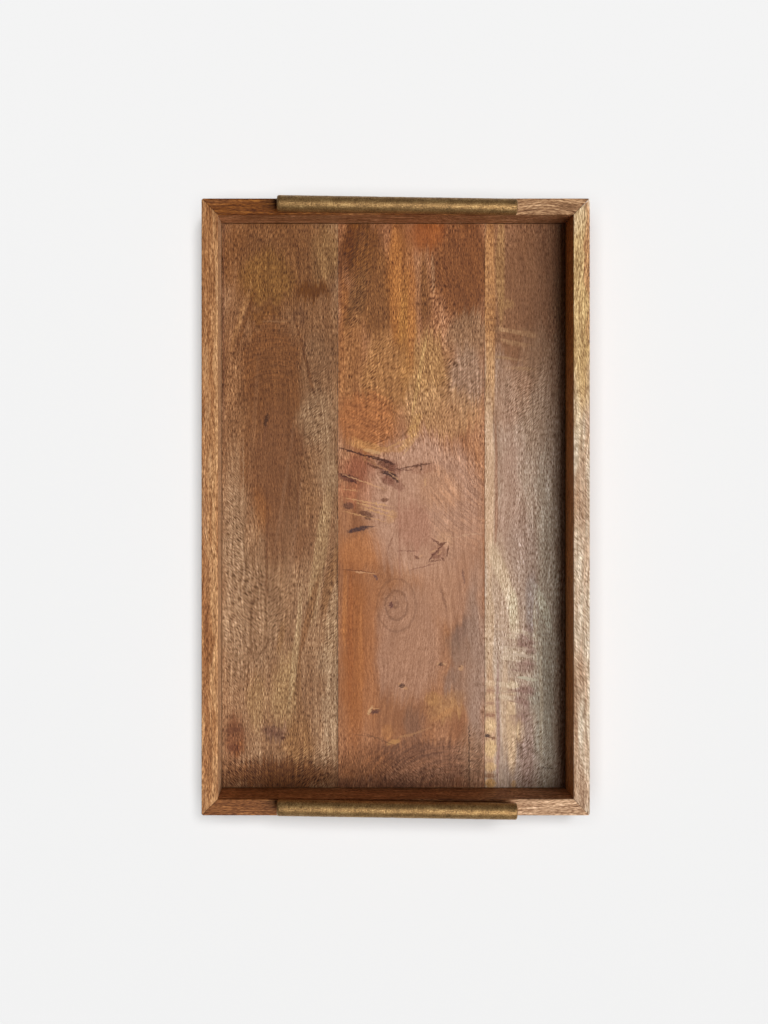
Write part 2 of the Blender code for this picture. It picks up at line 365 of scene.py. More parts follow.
    def draw_arcs(self):
        """Fine lines that sweep round a centre, pale and dark in turn."""
        g = self.graph
        for centre_x, centre_y, *place, amount in self.spec["arcs"]:
            reach = g.length(g.seen_from(self.crisp, centre_x, centre_y))
            lines = g.noise(g.combine(reach, self.x * 0.04, self.y * 0.04), (1.7, 1.0, 1.0), 3.0, 0.7)
            self.multiply(g.ramp(lines, ARC_SHADES), g.spot(self.loose, *place, 0.5, amount))

    def draw_targets(self):
        """Closed rings round a knot."""
        g = self.graph
        for x, y, radius, pitch, amount in self.spec["targets"]:
            reach = g.length(g.seen_from(self.crisp, x, y, 1.0, TARGET_STRETCH))
            loop = g.smooth(g.math("SINE", reach * (math.tau / pitch)), 0.5, 1.0)
            self.cover(loop * g.smooth(reach, radius, radius * 0.5) * amount, TARGET_COLOUR)

    def finish(self):
        g = self.graph
        relief = self.fibre * 0.25 - self.pore * 0.8 - self.ring * 0.2
        return g.finish(
            Base_Color=self.colour,
            Roughness=g.smooth(self.fibre, 0.25, 0.75, 0.42, 0.52) + self.pore * 0.12,
            Normal=g.node("Bump", {"Height": relief, "Strength": 0.35, "Distance": 0.00012}),
            Specular_IOR_Level=0.2)


def wood(name, spec):
    piece = Wood(name, spec)
    piece.lay_places()
    piece.lay_grain()
    piece.fray_places()
    piece.lay_pores()
    piece.paint_patches()
    piece.paint_marks(broad=True)
    piece.shade_grain()
    piece.draw_arcs()
    if piece.spec["tint"]:
        piece.multiply(piece.spec["tint"] + (1.0,))
    piece.paint_marks(broad=False)
    piece.draw_targets()
    return piece.finish()


LEFT_BOARD = {
    "seed": 1, "pith": (-138, -190, 26, 0.16), "ring": 8, "sway": 8,
    "tint": (0.95, 0.91, 0.89),
    "shades": ((126, 88, 60), (142, 103, 72), (152, 114, 82), (164, 128, 94)),
    "slants": (
        (-162, -80, 12, 120, 0, -1),
        (-76, 96, 20, 46, 0, 1),
        (-150, -100, 24, 50, 0, -1),
        (-150, -272, 34, 18, 0, -1),
        (-82, -266, 26, 26, 0, 1),
        (-64, -90, 10, 60, 0, 1),
        (-120, -100, 14, 40, 0, 1),
    ),
    "calm": (
        (-124, 70, 30, 120, 0, 0.62),
        (-112, -20, 18, 70, 0, 0.7),
        (-80, 218, 16, 8, 0, 0.5),
        (-115, -268, 60, 20, 0, 1.3),
        (-150, -100, 26, 70, 0, 1.2),
    ),
    "zones": (
        (-116, 150, 66, 90, 0, (130, 89, 58), 0.8),
        (-120, 250, 60, 52, 0, (120, 79, 48), 0.85),
        (-128, 232, 26, 26, 0, (130, 90, 50), 0.75),
        (-70, 255, 12, 30, 0, (142, 105, 68), 0.85),
        (-81, 217, 18, 8, -8, (104, 64, 34), 0.9),
        (-132, 194, 14, 7, 20, (116, 75, 42), 0.8),
        (-92, 192, 7, 8, 0, (112, 76, 52), 0.7),
        (-121, 130, 30, 60, 3, (119, 76, 46), 0.85),
        (-128, 80, 34, 90, 3, (122, 80, 50), 0.75),
        (-112, 20, 30, 80, 6, (124, 82, 54), 0.75),
        (-134, -6, 9, 24, 0, (142, 92, 54), 0.7),
        (-78, 140, 17, 40, 0, (128, 92, 64), 0.85),
        (-76, 88, 18, 28, 0, (148, 114, 83), 0.9),
        (-65, 40, 9, 34, 0, (152, 118, 86), 0.85),
        (-90, 20, 16, 36, 0, (132, 92, 60), 0.6),
        (-162, 80, 10, 60, 0, (138, 98, 66), 0.7),
        (-161, -70, 13, 110, 0, (154, 122, 92), 0.85),
        (-140, -110, 26, 60, 0, (148, 114, 84), 0.7),
        (-62, -130, 6, 50, 0, (164, 130, 96), 0.7),
        (-110, -186, 14, 34, -6, (164, 128, 86), 0.7),
        (-140, -200, 10, 26, 0, (158, 122, 82), 0.6),
        (-64, -205, 9, 60, 0, (166, 134, 102), 0.7),
        (-97, -238, 14, 26, 0, (140, 98, 60), 0.7),
        (-161, -236, 11, 22, 0, (116, 72, 48), 0.85),
        (-158, -246, 5.5, 8, 0, (134, 82, 46), 0.5),
        (-121, -230, 12, 7, -10, (122, 88, 68), 0.8),
        (-115, -273, 62, 16, 0, (106, 64, 38), 0.85),
    ),
    "bands": (
        (-75, -50, 6.5, 66, -8, (168, 134, 94), 0.55),
        (-64, -75, 5, 40, -14, (128, 88, 56), 0.8),
        (-86, -112, 3.4, 44, -14, (130, 88, 56), 0.8),
        (-95.5, -200, 2.8, 74, 2, (134, 94, 62), 0.75),
        (-114, -133, 3.6, 16, -10, (134, 96, 62), 0.7),
        (-100, -150, 3, 60, -6, (176, 144, 104), 0.5),
        (-143, 60, 2.6, 90, -4, (142, 100, 68), 0.5),
        (-112, 10, 1.8, 70, -8, (146, 106, 76), 0.5),
        (-101, -30, 1.6, 60, -8, (150, 110, 80), 0.5),
        (-128, -40, 1.6, 60, 0, (112, 72, 48), 0.5),
        (-106, 60, 1.6, 70, 0, (104, 66, 42), 0.5),
        (-96, 30, 1.8, 50, -4, (110, 70, 46), 0.5),
        (-166, 150, 2, 90, -3, (150, 108, 74), 0.5),
        (-155.7, 189, 2.4, 36, -15.5, (156, 112, 72), 0.75),
        (-151, 186, 2, 34, -15.5, (104, 64, 38), 0.6),
        (-89, 148, 1.6, 44, 15, (98, 60, 38), 0.6),
        # a dark line along the foot of the left wall: the gap there, with painted shade in that crease
        (-172.3, 200, 1, 120, 0, (92, 58, 46), 0.5),
    ),
    "arcs": (
        (-122, 100, -122, 150, 34, 44, 0, 0.6),
    ),
    "marks": (
        # small knot and its tail
        (-129.4, 86.5, 1.9, 7, -12, (70, 46, 32), 0.92),
        (-131, 72, 1.4, 12, -10, (112, 72, 52), 0.6),
        # a V where rings meet
        (-148, -143, 0.9, 18, 30, (96, 62, 42), 0.6),
        (-130.4, -143.7, 0.9, 18, -32, (96, 62, 42), 0.6),
        # pale lines
        (-152.6, 24, 0.6, 46, 0, (178, 142, 108), 0.6),
        (-119, 187, 14, 0.8, 0, (158, 118, 82), 0.5),
        # dark smudges near the front
        (-111.5, -235.5, 2.4, 2, 0, (78, 44, 34), 0.9),
        (-122, -229, 11, 5, -12, (112, 76, 58), 0.7),
        (-161, -246, 7, 4, 0, (88, 52, 40), 0.6),
        (-164, -228, 9, 2.4, 6, (92, 56, 42), 0.6),
        # dark line beside the middle board
        (-57.2, -150, 0.7, 130, 0, (88, 62, 44), 0.5),
    ),
}
MIDDLE_BOARD = {
    "seed": 2, "pith": (10, -110, 18, 0.22), "ring": 9, "sway": 10, "waver": 2.4, "streak": 1.9,
    "shades": ((140, 90, 60), (156, 104, 70), (166, 114, 80), (176, 126, 92)),
    "eyes": (
        (-2.7, -99.7, 22, 0.7),
        (-9.8, 34, 18, 0.3),
    ),
    "slants": (
        (-40, 225, 14, 60, -8, 1),
        (-10, 130, 26, 44, 0, 1),
        (70, 120, 24, 40, 0, 1),
        (-26, 82, 30, 26, 0, 1),
        (74, -248, 20, 30, 0, 1),
        (20, -270, 40, 16, 0, -1),
    ),
    "calm": (
        (24, 275, 22, 20, 0, 0.4),
        (72, 235, 26, 40, 0, 0.8),
        (-36, 84, 22, 26, 0, 0.6),
        (20, -50, 92, 108, 0, 0.16),
        (70, -180, 30, 50, 0, 0.35),
        (-20, -180, 60, 60, 0, 0.3),
        (30, -230, 60, 36, 0, 0.5),
    ),
    "zones": (
        (-34, 266, 20, 32, 0, (106, 64, 26), 0.9),
        (-18, 215, 24, 50, 0, (120, 76, 44), 0.9),
        (8, 220, 13, 70, 0, (140, 86, 46), 0.9),
        (34, 276, 18, 20, 0, (148, 84, 44), 0.9),
        (32, 220, 8, 36, 0, (126, 80, 48), 0.8),
        (70, 240, 29, 56, 0, (122, 74, 44), 0.95),
        (76, 172, 22, 24, 0, (144, 106, 76), 0.8),
        (76, 130, 20, 32, 0, (150, 115, 90), 0.85),
        (34, 130, 24, 44, 0, (164, 118, 74), 0.9),
        (12, 168, 10, 50, 0, (168, 112, 58), 0.7),
        (-8, 130, 26, 44, 0, (158, 108, 64), 0.8),
        (-46, 150, 12, 60, 0, (148, 97, 58), 0.8),
        (-48, 252, 7, 30, -8, (96, 56, 30), 0.7),
        (-50, 205, 6, 26, 0, (136, 82, 44), 0.7),
        (-39, 208, 7, 30, -17, (108, 72, 46), 0.6),
        (-28, 85, 29, 30, 0, (160, 100, 60), 0.9),
        (50, 96, 40, 24, 0, (168, 122, 82), 0.7),
        (-34, 36, 22, 14, -8, (150, 90, 64), 0.9),
        (-34, 12, 22, 10, 0, (168, 104, 72), 0.8),
        (-32, -46, 21, 18, 0, (177, 115, 72), 0.9),
        (30, 0, 60, 70, 0, (182, 138, 112), 0.88),
        (46, 20, 20, 24, 40, (178, 128, 94), 0.5),
        (22, -20, 18, 26, 0, (164, 112, 88), 0.6),
        (60, -70, 34, 50, 0, (176, 130, 102), 0.7),
        (-40, -150, 14, 90, 0, (156, 95, 54), 0.92),
        (-22, -150, 10, 80, 0, (164, 106, 68), 0.7),
        (14, -140, 34, 60, 0, (168, 123, 96), 0.85),
        (70, -128, 8, 16, -20, (128, 98, 82), 0.8),
        (66, -150, 12, 16, 30, (130, 100, 82), 0.75),
        (85, -172, 11, 96, 0, (155, 124, 105), 0.85),
        (56, -176, 8, 12, 0, (134, 102, 84), 0.75),
        (70, -170, 14, 30, 0, (152, 116, 94), 0.75),
        (50, -205, 18, 14, 10, (158, 110, 70), 0.7),
        (57, -206, 13, 6, 8, (188, 136, 88), 0.55),
        (20, -222, 9, 16, 0, (122, 86, 66), 0.7),
        (34, -264, 66, 24, 0, (130, 88, 64), 0.92),
        (10, -250, 40, 10, 8, (116, 76, 54), 0.7),
        (-30, -262, 26, 20, 0, (132, 84, 54), 0.85),
        (-20, -284, 70, 7, 0, (108, 70, 50), 0.8),
        (80, -256, 14, 30, 0, (138, 102, 76), 0.6),
    ),
    "bands": (
        (2, 230, 6, 60, 0, (172, 110, 60), 0.7),
        (18, 200, 4, 60, 0, (166, 104, 58), 0.6),
        (31, 216, 3, 44, 0, (112, 70, 40), 0.5),
        (40, 236, 1.6, 20, 0, (160, 118, 84), 0.5),
        (-28, 272, 1.6, 24, -8, (96, 60, 36), 0.6),
        (-38, 264, 1.6, 26, -10, (90, 56, 34), 0.6),
        (-22, 240, 1.4, 30, -6, (104, 66, 42), 0.5),
        (-44, 196, 2, 24, -20, (88, 56, 36), 0.5),
        (-52, 150, 3, 50, 0, (158, 102, 62), 0.5),
        (-14, 150, 1.6, 50, -10, (138, 92, 56), 0.4),
        (26, 130, 2, 50, -10, (190, 146, 92), 0.5),
        (-44, -130, 3, 70, 0, (150, 88, 50), 0.6),
        (-33, -150, 2.4, 60, 0, (176, 112, 66), 0.5),
        (-50, -100, 2, 40, 0, (184, 118, 68), 0.5),
        (6, -20, 1.2, 60, 0, (150, 98, 76), 0.4),
        (58, -110, 1.2, 60, 0, (186, 138, 106), 0.4),
        (88, -60, 2.4, 70, 0, (180, 136, 108), 0.4),
    ),
    "arcs": (
        (132, 70, 66, 24, 34, 64, 0, 0.75),
        (60, -330, 20, -264, 70, 24, 0, 0.9),
        (-60, 10, -24, 92, 34, 30, 0, 0.6),
    ),
    "marks": (
        # pale figure round the cracks
        (-26, 60, 20, 4.4, -13, (192, 138, 84), 0.6),
        (-22, 55, 9, 2, -14, (212, 166, 116), 0.7),
        (-34, 66, 9, 1, -24, (196, 140, 84), 0.5),
        (2, 62, 12, 1, 24, (204, 154, 98), 0.5),
        (-8, 57, 18, 2.6, -2, (186, 132, 80), 0.4),
        (14, 64, 12, 3.2, 46, (192, 142, 88), 0.6),
        (18, 62, 14, 0.8, 52, (206, 158, 106), 0.6),
        (10, 72, 10, 0.8, 44, (112, 74, 44), 0.5),
        (24, 62, 9, 0.7, 58, (118, 78, 52), 0.5),
        (20, 76, 6, 5.4, 50, (200, 150, 88), 0.5),
        (23, 86, 4, 9, -26, (192, 144, 84), 0.4),
        # pale figure near the front
        (0, -240, 7, 2.6, 16, (200, 146, 88), 0.6),
        (-6, -230, 6, 8, 10, (184, 124, 72), 0.4),
        (14, -233, 10, 1.2, 14, (186, 136, 92), 0.5),
        (30, -228, 10, 1.2, 20, (180, 130, 90), 0.5),
        (40, -196, 8, 7, 0, (186, 134, 80), 0.4),
        (60, -196, 14, 8, 20, (168, 122, 82), 0.4),
        (50, -212, 12, 3, 30, (178, 122, 76), 0.5),
        # the long crack, and the knots and splits on it
        (-36, 53, 21, 0.9, -17, (70, 40, 28), 0.95),
        (-14, 47, 15, 1.2, -18, (72, 42, 30), 0.9),
        (-22, 44, 8, 0.9, -30, (80, 46, 34), 0.85),
        (-4, 37, 11, 10, -20, (128, 78, 60), 0.7),
        (-8, 41, 10, 5.4, -20, (104, 60, 44), 0.75),
        (3, 22, 9, 5, -40, (132, 84, 66), 0.6),
        (30, 38, 14, 6, 6, (148, 98, 74), 0.5),
        (-5, 44, 7, 1.4, -18, (76, 44, 32), 0.8),
        (-2, 36, 4, 7, 0, (112, 66, 50), 0.6),
        (-4, 32, 8, 2.2, -20, (54, 32, 22), 0.95),
        (2, 27, 5, 1.4, -40, (70, 42, 30), 0.9),
        (0, 30, 7, 0.6, -42, (212, 160, 116), 0.7),
        (-6, 25, 7, 4, -24, (118, 70, 54), 0.8),
        (-20, 40, 9, 1.2, -20, (90, 52, 38), 0.8),
        (20, 40, 20, 0.9, 10, (84, 48, 36), 0.85),
        (12, 36, 7, 0.8, 0, (96, 56, 42), 0.7),
        (28, 40, 0.8, 5, 0, (84, 50, 36), 0.85),
        (32, 24, 1, 4, 0, (214, 164, 118), 0.7),
        # splinters and dark pockets beside the left board
        (-30, 24, 22, 0.7, -20, (208, 156, 112), 0.8),
        (-14, 40, 16, 0.6, -26, (196, 140, 96), 0.6),
        (-45, 28, 11, 3.6, -14, (92, 52, 42), 0.85),
        (-50, 30, 5, 0.9, -20, (70, 40, 32), 0.9),
        (-40, 24, 5, 0.9, -24, (70, 40, 32), 0.85),
        (-44, 16, 9, 0.6, -6, (204, 150, 104), 0.6),
        (-26, 3.4, 24, 0.7, -10, (212, 162, 112), 0.75),
        (-20, -1.6, 20, 0.7, -14, (212, 162, 112), 0.75),
        (-16, -7, 18, 0.7, -16, (206, 156, 104), 0.75),
        (-30, -11, 22, 0.7, -14, (206, 154, 104), 0.7),
        (-46, 0, 5.4, 3.4, 0, (98, 62, 50), 0.9),
        (-28, -8.4, 8, 2.6, -16, (92, 56, 42), 0.85),
        (-26, -13, 4, 1.4, -10, (86, 52, 40), 0.8),
        (-9, 6, 4, 2, 0, (110, 70, 52), 0.85),
        (-2, -11, 5, 7, -30, (196, 146, 100), 0.5),
        # dark slot
        (-36, -24, 11, 2.2, 12, (72, 52, 52), 0.95),
        (-27, -21, 8, 0.9, 0, (84, 60, 56), 0.9),
        # scratch with a pale lip
        (-36.1, -66.2, 17, 0.7, -5, (110, 66, 44), 0.8),
        (-30, -68, 12, 0.6, -5, (206, 154, 112), 0.7),
        (-18, -73, 3.8, 1.2, -50, (104, 72, 68), 0.85),
        # star-shaped scar
        (52, -34, 8, 7, 0, (192, 146, 112), 0.5),
        (44, -46, 9, 0.9, 46, (100, 58, 44), 0.9),
        (38.5, -52, 1, 6, -30, (102, 60, 46), 0.85),
        (43, -36.5, 7, 0.9, -38, (104, 60, 46), 0.85),
        (50, -38.5, 4, 1.2, 20, (100, 58, 42), 0.85),
        (55, -46, 0.9, 6, -8, (98, 58, 42), 0.85),
        (45, -47, 9, 8, 30, (150, 102, 80), 0.6),
        (44, -50, 5, 3, 40, (124, 78, 60), 0.7),
        (47, -43, 6, 0.8, 58, (112, 68, 52), 0.8),
        (41, -46, 4, 0.7, 30, (204, 154, 116), 0.6),
        (42, -56, 6, 0.8, 10, (104, 62, 46), 0.8),
        (50, -54, 3, 0.8, -50, (104, 62, 46), 0.8),
        (46.5, -48, 3, 0.7, 40, (206, 156, 116), 0.7),
        # fine lines round the scar
        (23.5, -52.5, 3.4, 1.1, -30, (104, 62, 46), 0.85),
        (28, -51, 2.4, 0.8, 40, (206, 154, 112), 0.7),
        (14, -46, 10, 0.6, 0, (124, 80, 64), 0.6),
        (-4, -40, 0.7, 14, -18, (128, 84, 64), 0.6),
        (30, -62, 14, 0.7, 14, (128, 84, 66), 0.6),
        (74, -30, 18, 0.6, 8, (206, 164, 132), 0.5),
        (71, -72, 1.2, 8, 8, (120, 84, 70), 0.75),
        (51, -95, 1, 12, 16, (124, 84, 64), 0.6),
        # small knots, with pale rims
        (-2.7, -100.6, 1.9, 3.6, 0, (104, 64, 58), 0.95),
        (48, -160.5, 2.4, 2, 0, (84, 52, 40), 0.9),
        (45.4, -160, 2, 0.8, 20, (200, 150, 108), 0.7),
        (51.6, -160.4, 2.2, 1.4, 0, (204, 154, 112), 0.7),
        (68.4, -164.6, 3, 2.6, 30, (200, 150, 108), 0.7),
        (67, -163.4, 1.3, 1.1, 0, (92, 58, 46), 0.8),
        (11, -184.8, 3.4, 1.6, -24, (198, 146, 102), 0.6),
        (6, -180.6, 2.4, 1, 30, (196, 144, 100), 0.5),
        (8.5, -182.8, 2.8, 2.4, 0, (70, 42, 34), 0.9),
        # a small notch in the flat floor: painted shade in its dark hollow and a painted highlight on its
        # pale upper lip
        (-19, -209, 5, 2.4, 8, (92, 58, 50), 0.95),
        (-24, -208, 5, 1.4, 62, (212, 166, 118), 0.8),
        (-18, -205.6, 4, 0.6, 0, (200, 150, 104), 0.7),
        # splits at the front end
        (76.8, -254.8, 0.8, 34, 0, (78, 52, 38), 0.85),
        (57, -258, 0.6, 26, 0, (94, 64, 46), 0.6),
        (-12, -238, 20, 0.6, -22, (104, 68, 48), 0.6),
        (-26, -234, 16, 0.6, -10, (104, 68, 48), 0.6),
    ),
    "targets": (
        (-2.7, -99.7, 15, 5, 0.2),
        (3, -101, 30, 8.8, 0.32),
    ),
}
RIGHT_BOARD = {
    "seed": 3, "pith": (60, 40, 40, 0.1), "ring": 9, "sway": 5, "pore": 1, "streak": 1.8,
    "tint": (1.09, 1.1, 1.08),
    "shades": ((148, 120, 100), (166, 138, 117), (178, 151, 130), (190, 164, 142)),
    "slants": (
        (135, 110, 24, 40, 0, 1),
        (140, -250, 30, 40, 0, 1),
    ),
    "calm": (
        (140, 230, 34, 40, 0, 0.5),
        (130, 160, 24, 30, 0, 0.5),
        (106, 0, 16, 90, 0, 0.5),
        (104, -222, 22, 66, 0, 0.5),
    ),
    "zones": (
        (134, 228, 52, 96, 0, (124, 80, 51), 0.92),
        (150, 130, 22, 50, 0, (142, 106, 80), 0.8),
        (116, 110, 24, 34, 0, (150, 110, 84), 0.7),
        (147, 84, 20, 34, 0, (154, 124, 101), 0.75),
        (118, 0, 14, 80, 0, (162, 126, 106), 0.75),
        (130, -60, 18, 50, 0, (158, 130, 113), 0.6),
        (108, -80, 12, 56, 12, (182, 150, 122), 0.6),
        (156, -120, 12, 160, 0, (156, 138, 118), 0.7),
        (116, -100, 16, 50, 0, (168, 138, 116), 0.6),
        (130, -262, 22, 26, 0, (140, 116, 102), 0.7),
        (152, -210, 12, 90, 0, (134, 122, 104), 0.6),
        # painted shade: a darker brown strip along the foot of the right wall, in that wall's shadow
        (174, 0, 9, 500, 0, (110, 82, 58), 0.6),
    ),
    "bands": (
        (97.6, 210, 5.4, 100, 0, (172, 120, 76), 0.9),
        (108.6, 240, 4.6, 54, 0, (154, 112, 72), 0.8),
        (116, 204, 6, 5, 0, (158, 116, 76), 0.6),
        (97.6, 120, 5.2, 44, 0, (176, 132, 92), 0.8),
        (97.4, 20, 5, 92, 0, (194, 157, 126), 0.9),
        (104, 20, 1.6, 70, 0, (150, 106, 80), 0.7),
        (111, -72, 6.6, 38, 20, (202, 174, 144), 0.7),
        (121, -112, 5, 24, 10, (198, 172, 144), 0.6),
        (148, -94, 3, 18, 29, (190, 170, 144), 0.6),
        (97, -130, 4.6, 50, 0, (190, 156, 124), 0.7),
        (98, -226, 5.4, 66, 0, (180, 140, 108), 0.9),
        (113, -205, 3.4, 50, 0, (186, 154, 126), 0.8),
        (120, -226, 5, 44, 0, (194, 160, 126), 0.85),
        (129, -228, 4, 13, 0, (200, 166, 128), 0.85),
        (106, -222, 1.9, 66, 0, (150, 116, 104), 0.85),
        (121, -105, 4, 20, 0, (190, 168, 138), 0.7),
        (153, -106, 4, 24, 16, (172, 160, 138), 0.55),
        (140, -100, 7, 30, 0, (148, 130, 120), 0.6),
        (144, -130, 2.4, 40, 0, (186, 166, 142), 0.6),
        (150, -200, 2, 60, 0, (170, 150, 126), 0.6),
        (135, -245, 7, 40, 0, (138, 108, 94), 0.7),
    ),
    "stripes": (
        (124, 174, 22, 12, -12, (156, 116, 82), 0.65, 6),
        (126, 147, 24, 9, -10, (158, 120, 86), 0.65, 6),
        (98, 190, 4, 60, 0, (140, 96, 64), 0.5, 4),
        (131, -172, 12, 50, -8, (128, 90, 80), 0.5, 8),
        (121, -160, 12, 54, -10, (206, 182, 154), 0.4, 5),
    ),
    "marks": (
        # maroon bars
        (132, -138, 8, 4.4, -8, (134, 98, 86), 0.5),
        (130, -134, 6, 2.9, -8, (134, 98, 86), 0.4),
        (134, -163, 10, 5.6, -10, (128, 90, 78), 0.55),
        (138, -159, 7, 4, -8, (128, 90, 78), 0.4),
        (134, -188, 10, 6.4, -8, (130, 94, 82), 0.5),
        (131, -206, 7, 14, 0, (128, 92, 80), 0.5),
        # cream bars between them
        (126, -144.5, 14, 1.1, -4, (192, 164, 142), 0.75),
        (130, -152, 12, 1.5, -8, (200, 176, 154), 0.85),
        (114, -150, 7, 1.2, 20, (194, 166, 142), 0.7),
        (111, -126, 8, 1.3, -10, (194, 164, 138), 0.7),
        (114, -135, 5, 1.2, -16, (190, 160, 134), 0.7),
        (130, -130, 8, 0.9, 4, (184, 156, 136), 0.6),
        (136, -175.5, 10, 1.8, -8, (202, 190, 164), 0.9),
        (121, -182, 5.6, 4.2, 0, (204, 178, 148), 0.8),
        (117, -189, 8, 1, 0, (150, 112, 92), 0.6),
        (113, -172, 1, 16, 0, (196, 166, 138), 0.6),
        # cream cells of the sapwood, and the dark lines between them
        (98, -180.5, 5.4, 3.2, 0, (204, 172, 140), 0.8),
        (98, -194, 5.2, 3.2, 0, (200, 166, 132), 0.7),
        (98, -206, 5.2, 3.2, 0, (200, 166, 132), 0.7),
        (98, -223.6, 5.6, 7.6, 0, (206, 170, 128), 0.85),
        (98.4, -246.6, 6, 9.2, 0, (204, 168, 122), 0.85),
        (98.4, -265, 5.6, 4.6, 0, (200, 160, 112), 0.7),
        (98, -282, 5.6, 4.6, 0, (196, 146, 84), 0.8),
        (122, -283, 2.4, 4.6, 0, (196, 150, 92), 0.6),
        (98, -212.8, 5.2, 1.7, 0, (140, 94, 72), 0.8),
        (98, -274, 5.6, 2.2, 0, (138, 92, 62), 0.7),
        (98, -187.4, 5.2, 1.4, 0, (156, 114, 92), 0.6),
        (98, -200.4, 5.2, 1.2, 0, (150, 110, 88), 0.6),
        # dark nicks
        (95, -233.4, 3.4, 1.3, -10, (56, 34, 24), 0.95),
        (100, -235.4, 4, 1.2, -8, (110, 68, 44), 0.85),
        (128, -240.6, 4, 1, 0, (140, 104, 84), 0.7),
        (156, -266, 6, 0.9, -10, (72, 52, 40), 0.7),
    ),
}


def rail_wood(seed, along, shades, wall, zones, slants=(), streak=PLAIN_WOOD["streak"]):
    """The table of one rail. All four are cut from much the same plain wood."""
    return {
        "seed": seed, "along": along, "pith": (seed * 13.0, 0.0, 60.0, 0.05), "ring": 6.0, "sway": 7.0,
        "pore": 0.9, "streak": streak, "shade_size": (9.0, 80.0, 20.0),
        "shades": shades, "zones": zones, "slants": slants, "wall": wall,
    }


# Each rail's wall colour is painted light or shade on its sides below the rim: paler on the left, back and
# front rails, darker and warmer on the right rail.
RAILS = {
    "left": rail_wood(
        4, "Y",
        shades=((144, 94, 58), (164, 112, 72), (178, 128, 86), (196, 150, 108)),
        wall=(187, 143, 107),
        zones=(
            (-187, -100, 4, 160, 0, (150, 96, 60), 0.6),
            # painted light: a pale strip along the whole inner edge of the left rail, the side that faces the
            # light
            (-177, 0, 2.4, 400, 0, (196, 146, 100), 0.7),
        )),
    "right": rail_wood(
        5, "Y",
        shades=((160, 122, 92), (184, 151, 122), (196, 171, 144), (207, 185, 160)),
        wall=(183, 123, 68),
        zones=(
            (182, 200, 12, 110, 0, (190, 152, 98), 0.85),
            (189, 240, 3, 70, 0, (176, 120, 78), 0.7),
        ),
        slants=((183, -80, 14, 190, 0, -1),)),
    "back": rail_wood(
        6, "X",
        shades=((106, 60, 33), (118, 70, 38), (130, 80, 46), (144, 94, 58)),
        wall=(164, 115, 81),
        zones=((295, 150, 30, 50, 0, (158, 118, 84), 0.9),),
        streak=4.4),
    "front": rail_wood(
        7, "X",
        shades=((130, 82, 50), (144, 94, 60), (156, 106, 70), (168, 120, 84)),
        wall=(169, 117, 78),
        zones=(
            (-295, -150, 30, 60, 0, (128, 80, 48), 0.9),
            (-295, 160, 30, 44, 0, (182, 142, 108), 0.95),
        ),
        streak=3.6),
}
BOARDS = {"left": LEFT_BOARD, "middle": MIDDLE_BOARD, "right": RIGHT_BOARD}


# ---------------------------------------------------------------- metal
def brass():
    """Antique brass, mottled and rough from casting."""
    g = Graph("antique_brass")
    place = g.millimetres()
    grains = g.noise(place, (1.3, 1.3, 1.3), 3.0, 0.6)
    broad = g.noise(place, (9.0, 6.0, 6.0), 2.0)
    return g.finish(
        Base_Color=g.ramp(grains * 0.68 + broad * 0.32, (
            (0.34, tone(98, 76, 46)), (0.5, tone(148, 113, 69)), (0.66, tone(186, 152, 100)))),
        Metallic=0.75,
        Roughness=g.smooth(grains, 0.35, 0.65, 0.6, 0.42),
        Normal=g.node("Bump", {"Height": grains + broad * 0.5, "Strength": 0.6, "Distance": 0.0004}))


def steel():
    g = Graph("plain_steel")
    grains = g.noise(g.millimetres(), (0.6, 0.6, 4.0), 2.0)
    return g.finish(
        Base_Color=g.ramp(grains, ((0.35, tone(176, 176, 178)), (0.65, tone(204, 204, 206)))),
        Metallic=1.0,
        Roughness=g.smooth(grains, 0.3, 0.7, 0.3, 0.42))


def dress(node, material):
    """Puts the material on a CAD node in place of its own."""
    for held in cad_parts[node].material_slots:
        held.material = material


for side, spec in RAILS.items():
    dress("rail_" + side, wood("rail_wood_" + side, spec))
for side, spec in BOARDS.items():
    dress("base_" + side, wood("board_wood_" + side, spec))
brass_finish = brass()
steel_finish = steel()
for end in ENDS:
    dress("bar_" + end, brass_finish)
    for flank in FLANKS:
        corner = end + "_" + flank
        dress("post_" + corner, brass_finish)
        dress("stud_" + corner, steel_finish)
        dress("spline_" + corner, bpy.data.materials["rail_wood_right"])


# ---------------------------------------------------------------- cast handle bars
HANDLE_SKEW = math.radians(-0.9)
END_ROUND = 0.0022
END_STEPS = 8
END_FACE_SHARES = (0.0, 0.25, 0.5, 0.66)    # rings across an end face, as shares of the bar's radius
END_SLACK = 0.00005     # how far an end face stays inside the CAD bar's
SKIN = 0.00004          # how far the cast skin stays inside the ideal bar
BAR_STEPS = 320
BAR_SIDES = 72
SMOOTH_ANGLE = math.radians(50)
SOCKET_SLACK = 0.0003
SOCKET_SIDES = 48
DRILL_START = 0.002     # how far below the bar the drill starts


def bar_profile(half, radius):
    """Stations along a bar and the radius at each, from the middle of one end face to the other's."""
    right = [(half, radius * share) for share in END_FACE_SHARES]
    for step in range(END_STEPS + 1):
        turn = math.pi / 2 * step / END_STEPS
        right.append((half - END_ROUND * (1 - math.cos(turn)), radius - END_ROUND * (1 - math.sin(turn))))
    inner = right[-1][0]
    straight = [(inner - 2 * inner * step / BAR_STEPS, radius) for step in range(1, BAR_STEPS)]
    return right + straight + [(-x, r) for x, r in reversed(right)]


def cast_dent(point):
    """How far the cast surface lies inside the ideal one: soft hammering, sand grain and a few pits."""
    soft = noise.noise(point * 110) + 0.6 * noise.noise(point * 230 + Vector((3.0, 1.0, 5.0)))
    grain = noise.noise(point * 620 + Vector((9.0, 4.0, 2.0)))
    pit = max(0.0, noise.noise(point * 300 + Vector((1.0, 8.0, 6.0))) - 0.34)
    return SKIN + max(0.0, 0.00011 * (soft + 1.0) + 0.00004 * (grain + 0.8) + 0.0007 * pit)


